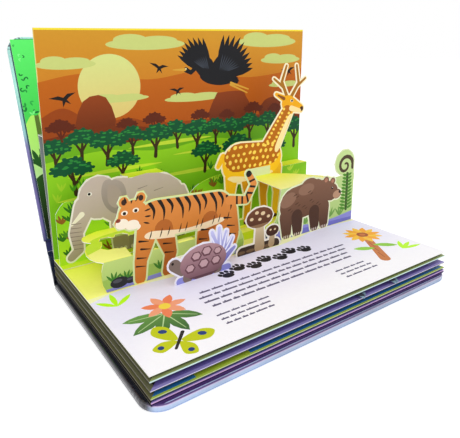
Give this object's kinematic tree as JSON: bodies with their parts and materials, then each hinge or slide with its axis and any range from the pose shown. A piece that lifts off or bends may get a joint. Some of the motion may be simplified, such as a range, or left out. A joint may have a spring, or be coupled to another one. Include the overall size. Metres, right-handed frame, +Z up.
{
  "type": "pop up book",
  "caption": "Thick pop-up picture book standing open at a right angle, with die-cut animal cards in layers between its lower page and its standing page.",
  "frame": {"origin": "centre of the back cover board's underside, which lies on the table", "axes": "+X along the gutter and the spine, +Y from the fore-edge back to the spine, +Z up from the table"},
  "size_m": [0.256, 0.2591, 0.198],
  "materials": {
    "padded_cover_dark": "gloss film over padded board",
    "padded_cover_blue": "gloss film over padded board",
    "printed_green_sheet": "satin print",
    "spine_covering": "gloss film over board",
    "printed_leaves": "satin print",
    "printed_green_card": "satin print",
    "grey_card": "satin print",
    "golden_card": "satin print",
    "orange_card": "satin print",
    "brown_card": "satin print",
    "mauve_card": "satin print",
    "dark_brown_card": "satin print"
  },
  "bodies": {
    "block": {"back_cover": "padded_cover_dark", "pages": "printed_leaves", "forest_layer": "printed_green_card", "back_layer": "grey_card", "deer_layer": "golden_card", "front_layer_left": "orange_card", "front_layer_right": "brown_card", "tortoise": "mauve_card", "toadstools": "dark_brown_card"},
    "spine": {"spine": "spine_covering"},
    "front_cover": {"front_cover": "padded_cover_blue", "front_pastedown": "printed_green_sheet"}
  },
  "joints": [
    {"name": "spine_hinge", "type": "hinge", "parent": "block", "child": "spine", "pos_m": [0, 0.0955, 0.0006], "axis": [-1, 0, 0], "range_deg": [-5, 10]},
    {"name": "front_cover_hinge", "type": "hinge", "parent": "spine", "child": "front_cover", "pos_m": [0, 0.1073, 0.02377], "axis": [-1, 0, 0], "range_deg": [-8, 64]}
  ]
}
